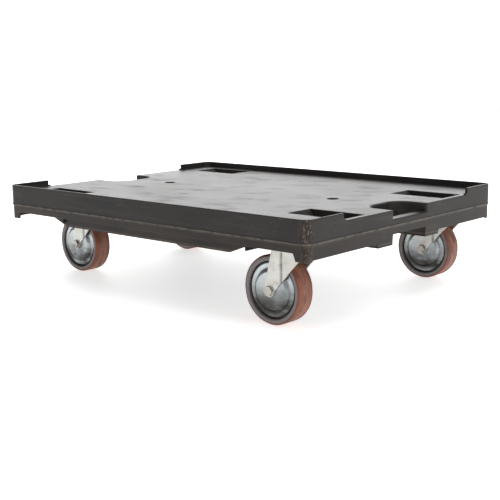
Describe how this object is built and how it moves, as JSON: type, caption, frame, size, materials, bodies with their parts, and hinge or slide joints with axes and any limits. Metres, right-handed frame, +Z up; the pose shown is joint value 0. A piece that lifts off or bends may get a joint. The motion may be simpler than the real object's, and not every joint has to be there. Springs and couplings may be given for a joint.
{
  "type": "platform trolley",
  "caption": "Moulded plastic platform trolley with raised rims, hand recesses, wheel pockets for stacking and swivel castors in a narrow and a wide pair.",
  "frame": {"origin": "on the floor under the middle of the platform", "axes": "+X towards the end with the wide pair of castors, +Y across, +Z up; all castors trail towards -X at rest"},
  "size_m": [0.813, 0.613, 0.2],
  "materials": {
    "deck_plastic": "satin moulded",
    "base_plastic": "satin moulded",
    "insert_brass": "turned",
    "screw_zinc": "zinc plated",
    "plate_zinc": "zinc plated, pressed",
    "fork_zinc": "zinc plated, pressed",
    "guard_zinc": "zinc plated, pressed",
    "core_plastic": "moulded",
    "pin_steel": "turned",
    "bearing_steel": "ground",
    "tyre_rubber": "worn"
  },
  "bodies": {
    "platform": {"deck_shell": "deck_plastic", "base_shell": "base_plastic", "threaded_inserts": "insert_brass", "plate_screws": "screw_zinc", "narrow_left_top_plate": "plate_zinc", "narrow_left_kingpin": "pin_steel", "narrow_left_race_cup": "fork_zinc", "narrow_right_top_plate": "plate_zinc", "narrow_right_kingpin": "pin_steel", "narrow_right_race_cup": "fork_zinc", "wide_left_top_plate": "plate_zinc", "wide_left_kingpin": "pin_steel", "wide_left_race_cup": "fork_zinc", "wide_right_top_plate": "plate_zinc", "wide_right_kingpin": "pin_steel", "wide_right_race_cup": "fork_zinc"},
    "narrow_left_swivel": {"narrow_left_balls": "bearing_steel", "narrow_left_fork": "fork_zinc", "narrow_left_axle_bolt": "screw_zinc", "narrow_left_axle_nut": "screw_zinc", "narrow_left_axle_sleeve": "pin_steel", "narrow_left_left_guard": "guard_zinc", "narrow_left_right_guard": "guard_zinc"},
    "narrow_left_wheel": {"narrow_left_roller_bearing": "bearing_steel", "narrow_left_wheel_core": "core_plastic", "narrow_left_tyre": "tyre_rubber"},
    "narrow_right_swivel": {"narrow_right_balls": "bearing_steel", "narrow_right_fork": "fork_zinc", "narrow_right_axle_bolt": "screw_zinc", "narrow_right_axle_nut": "screw_zinc", "narrow_right_axle_sleeve": "pin_steel", "narrow_right_left_guard": "guard_zinc", "narrow_right_right_guard": "guard_zinc"},
    "narrow_right_wheel": {"narrow_right_roller_bearing": "bearing_steel", "narrow_right_wheel_core": "core_plastic", "narrow_right_tyre": "tyre_rubber"},
    "wide_left_swivel": {"wide_left_balls": "bearing_steel", "wide_left_fork": "fork_zinc", "wide_left_axle_bolt": "screw_zinc", "wide_left_axle_nut": "screw_zinc", "wide_left_axle_sleeve": "pin_steel", "wide_left_left_guard": "guard_zinc", "wide_left_right_guard": "guard_zinc"},
    "wide_left_wheel": {"wide_left_roller_bearing": "bearing_steel", "wide_left_wheel_core": "core_plastic", "wide_left_tyre": "tyre_rubber"},
    "wide_right_swivel": {"wide_right_balls": "bearing_steel", "wide_right_fork": "fork_zinc", "wide_right_axle_bolt": "screw_zinc", "wide_right_axle_nut": "screw_zinc", "wide_right_axle_sleeve": "pin_steel", "wide_right_left_guard": "guard_zinc", "wide_right_right_guard": "guard_zinc"},
    "wide_right_wheel": {"wide_right_roller_bearing": "bearing_steel", "wide_right_wheel_core": "core_plastic", "wide_right_tyre": "tyre_rubber"}
  },
  "joints": [
    {"name": "narrow_left_turn", "type": "hinge", "parent": "platform", "child": "narrow_left_swivel", "pos_m": [-0.296, 0.163, 0.148], "axis": [0, 0, 1], "continuous": true},
    {"name": "narrow_left_spin", "type": "hinge", "parent": "narrow_left_swivel", "child": "narrow_left_wheel", "pos_m": [-0.334, 0.163, 0.0625], "axis": [0, 1, 0], "continuous": true},
    {"name": "narrow_right_turn", "type": "hinge", "parent": "platform", "child": "narrow_right_swivel", "pos_m": [-0.296, -0.163, 0.148], "axis": [0, 0, 1], "continuous": true},
    {"name": "narrow_right_spin", "type": "hinge", "parent": "narrow_right_swivel", "child": "narrow_right_wheel", "pos_m": [-0.334, -0.163, 0.0625], "axis": [0, 1, 0], "continuous": true},
    {"name": "wide_left_turn", "type": "hinge", "parent": "platform", "child": "wide_left_swivel", "pos_m": [0.332, 0.245, 0.148], "axis": [0, 0, 1], "continuous": true},
    {"name": "wide_left_spin", "type": "hinge", "parent": "wide_left_swivel", "child": "wide_left_wheel", "pos_m": [0.294, 0.245, 0.0625], "axis": [0, 1, 0], "continuous": true},
    {"name": "wide_right_turn", "type": "hinge", "parent": "platform", "child": "wide_right_swivel", "pos_m": [0.332, -0.245, 0.148], "axis": [0, 0, 1], "continuous": true},
    {"name": "wide_right_spin", "type": "hinge", "parent": "wide_right_swivel", "child": "wide_right_wheel", "pos_m": [0.294, -0.245, 0.0625], "axis": [0, 1, 0], "continuous": true}
  ]
}
